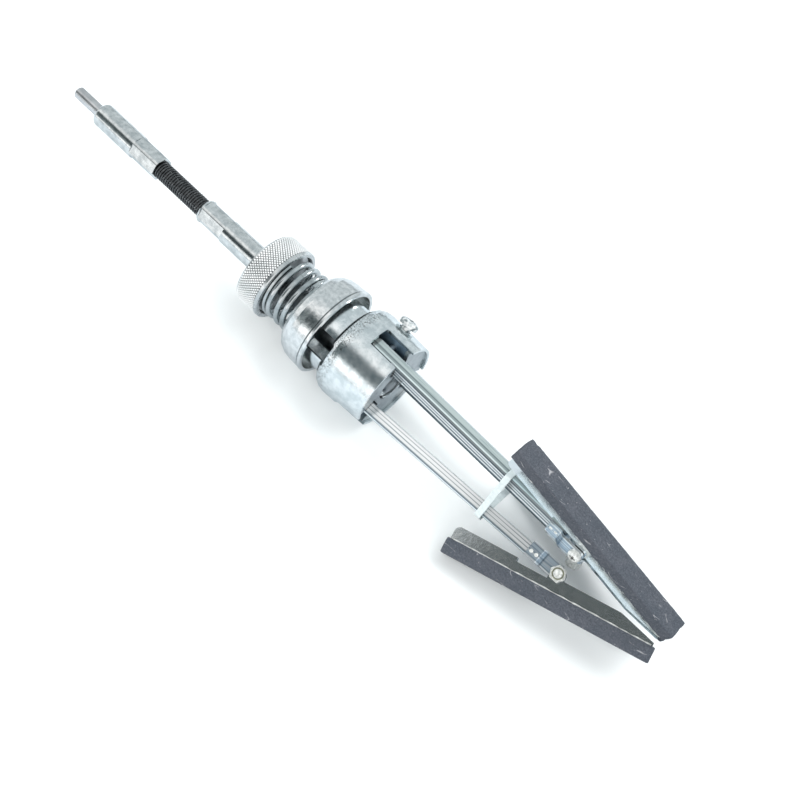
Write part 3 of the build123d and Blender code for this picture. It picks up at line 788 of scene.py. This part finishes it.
# Leg band: a flat white elastic loop that holds the legs shut for storage. It is stretched over
# the three arms, so it runs straight from arm to arm and bends at their corners. It is drawn in
# thirds, one at each arm.
band_mat, tree, bsdf = shader("white_elastic")
mottle = speckle(tree, coords(tree), 700.0)
tone = ramp(tree, mottle, (0.3, (0.58, 0.66, 0.67)), (0.7, (0.71, 0.78, 0.79)))
tree.links.new(tone, bsdf.inputs["Base Color"])
bsdf.inputs["Roughness"].default_value = 0.55
band_low, band_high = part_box("leg_band")
band_x, band_half = (band_low.x + band_high.x) / 2, (band_high.x - band_low.x) / 2
half_thick, corner_half, corner_r = 0.00048, 0.0038, 0.0004
# out to the middle of the band's thickness
web_r = band_high.z - axis_z - 0.0005
turn = math.radians(60)
span_steps, bend_steps, span_share = 16, 7, 0.985
# the band's section in half widths and half thicknesses, a little crowned
band_profile = ((-1, -1), (-1, 1), (0, 1.12), (1, 1), (1, -1))
corners = len(band_profile)
for leg, angle in LEGS.items():
    out, across = leg_ways(angle)
    # the span to the next arm runs straight, and its middle lies half way between the corners
    middle = out * math.cos(turn) + across * math.sin(turn)
    reach = web_r * math.cos(turn) + corner_half * math.sin(turn)
    centre = Vector((band_x, axis_y, axis_z))
    line = [centre + middle * reach, centre + out * web_r + across * corner_half]
    path, outward = [], []
    for i in range(span_steps + 1):
        path.append(line[0].lerp(line[1], i / span_steps * span_share))
        outward.append(middle)
    for i in range(1, bend_steps):
        bend = turn * (1 - i / bend_steps)
        facing_out = out * math.cos(bend) + across * math.sin(bend)
        outward.append(facing_out.normalized())
        path.append(line[1] + (facing_out - middle) * corner_r)
    for p, n in reversed(list(zip(path, outward))):
        path.append(p - 2 * across * (p - centre).dot(across))
        outward.append(n - 2 * across * n.dot(across))
    points, faces = [], []
    for p, n in zip(path, outward):
        for dx, dn in band_profile:
            points.append(p + Vector((dx * band_half, 0, 0)) + n * dn * half_thick)
    for a in range(0, (len(path) - 1) * corners, corners):
        for k in range(corners):
            n = (k + 1) % corners
            faces.append((a + k, a + n, a + corners + n, a + corners + k))
    third = shaped("elastic_" + leg, points, faces, band_mat, smooth=60)
    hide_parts("leg_band")
    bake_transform(third)

# Floor: a pale sheet under the tool, near white for the camera, greyer for the light that it
# sends back and for what metal mirrors. It fades out into the background.
floor_mat, tree, bsdf = shader("pale_floor")
floor_rays = tree.nodes.new("ShaderNodeLightPath")
floor_seen = tree.nodes.new("ShaderNodeMix")
floor_seen.data_type = "RGBA"
floor_seen.inputs["A"].default_value = (0.55, 0.56, 0.57, 1)
floor_seen.inputs["B"].default_value = (0.9, 0.925, 0.925, 1)
tree.links.new(floor_rays.outputs["Is Camera Ray"], floor_seen.inputs["Factor"])
floor_mirrored = tree.nodes.new("ShaderNodeMix")
floor_mirrored.data_type = "RGBA"
tree.links.new(floor_seen.outputs["Result"], floor_mirrored.inputs["A"])
floor_mirrored.inputs["B"].default_value = (0.61, 0.65, 0.68, 1)
tree.links.new(floor_rays.outputs["Is Glossy Ray"], floor_mirrored.inputs["Factor"])
tree.links.new(floor_mirrored.outputs["Result"], bsdf.inputs["Base Color"])
bsdf.inputs["Roughness"].default_value = 1.0
bsdf.inputs["Specular IOR Level"].default_value = 0.0
distance = tree.nodes.new("ShaderNodeVectorMath")
distance.operation = "LENGTH"
tree.links.new(coords(tree), distance.inputs[0])
fade = tree.nodes.new("ShaderNodeMixShader")
tree.links.new(ramp(tree, distance.outputs["Value"], (0.4, black), (0.8, white)), fade.inputs["Fac"])
tree.links.new(bsdf.outputs["BSDF"], fade.inputs[1])
tree.links.new(tree.nodes.new("ShaderNodeBsdfTransparent").outputs["BSDF"], fade.inputs[2])
tree.links.new(fade.outputs["Shader"], tree.nodes["Material Output"].inputs["Surface"])
bpy.ops.mesh.primitive_plane_add(size=6, location=(0, 0, 0))
floor = bpy.context.object
floor.name = "floor"
floor.data.materials.append(floor_mat)

# Studio light: a soft pale dome, white for the camera. Bright metal mirrors its dark patches
# as dark streaks and its bright one as a highlight. Of the lamps only the strip is mirrored.
world = bpy.data.worlds.new("studio")
bpy.context.scene.world = world
world.use_nodes = True
sky = world.node_tree
back = sky.nodes["Background"]
sky_rays = sky.nodes.new("ShaderNodeLightPath")
heading = sky.nodes.new("ShaderNodeTexCoord")


def facing(aim):
    # 1 in the direction of aim, 0 at right angles to it
    node = sky.nodes.new("ShaderNodeVectorMath")
    node.operation = "DOT_PRODUCT"
    node.inputs[1].default_value = Vector(aim).normalized()
    sky.links.new(heading.outputs["Generated"], node.inputs[0])
    return node.outputs["Value"]


dome = ramp(sky, facing((0, -1, 0)), (0.0, (0.62, 0.67, 0.69)), (0.3, white))
for aim, inner, outer in (
    ((0, 0, 1), (0.0, (0.4, 0.42, 0.43)), (0.04, white)),
    ((-0.25, -0.95, 0.12), (0.9, white), (0.97, (1.4, 1.4, 1.4))),
    ((-0.285, -0.72, 0.63), (0.935, white), (0.972, (0.115, 0.14, 0.15))),
    ((0.0, -0.49, 0.87), (0.988, white), (0.991, (0.09, 0.1, 0.1))),
    ((-0.61, -0.65, 0.44), (0.94, white), (0.96, (0.2, 0.235, 0.24))),
):
    dome = times(sky, dome, ramp(sky, facing(aim), inner, outer))
sky_seen = sky.nodes.new("ShaderNodeMix")
sky_seen.data_type = "RGBA"
sky.links.new(dome, sky_seen.inputs["A"])
sky_seen.inputs["B"].default_value = (1, 1, 1, 1)
sky.links.new(sky_rays.outputs["Is Camera Ray"], sky_seen.inputs["Factor"])
sky.links.new(sky_seen.outputs["Result"], back.inputs["Color"])
back.inputs["Strength"].default_value = 1.0

lamp_aim = Vector((0.03, 0, 0.02))
for name, place, size, watts, in_mirrors in (
    ("key", (0.5, 0.75, 1.3), 1.3, 19, False),
    ("fill", (-0.5, -1.1, 0.75), 1.1, 15, False),
    ("strip", (0.3, 0.9, 0.35), 0.22, 1.2, True),
):
    lamp = bpy.data.lights.new(name, "AREA")
    lamp.energy = watts
    lamp.size = size
    light = bpy.data.objects.new(name, lamp)
    light.visible_glossy = in_mirrors
    light.location = place
    light.rotation_euler = (lamp_aim - Vector(place)).to_track_quat("-Z", "Y").to_euler()
    bpy.context.collection.objects.link(light)

# Camera: above the stones' end, turned so that the tool lies across the frame from top left to
# bottom right, as in the photograph.
eye = Vector((0.167991, -0.288663, 0.480305))
aim = Vector((0.036044, -0.002748, 0.0238))
roll = 0.391
focal_px, sensor_mm, frame_px = 1223.3, 36, 800
forward = (aim - eye).normalized()
level = forward.cross(Vector((0, 0, 1))).normalized()
upright = level.cross(forward)
right = math.cos(roll) * level + math.sin(roll) * upright
above = -math.sin(roll) * level + math.cos(roll) * upright
camera = bpy.data.objects.new("camera", bpy.data.cameras.new("camera"))
camera.data.lens = focal_px * sensor_mm / frame_px
camera.data.clip_end = 20
camera.matrix_world = Matrix.Translation(eye) @ Matrix(
    [[right[i], above[i], -forward[i]] for i in range(3)]
).to_4x4()
bpy.context.collection.objects.link(camera)
bpy.context.scene.camera = camera
bpy.context.scene.view_settings.view_transform = "Standard"
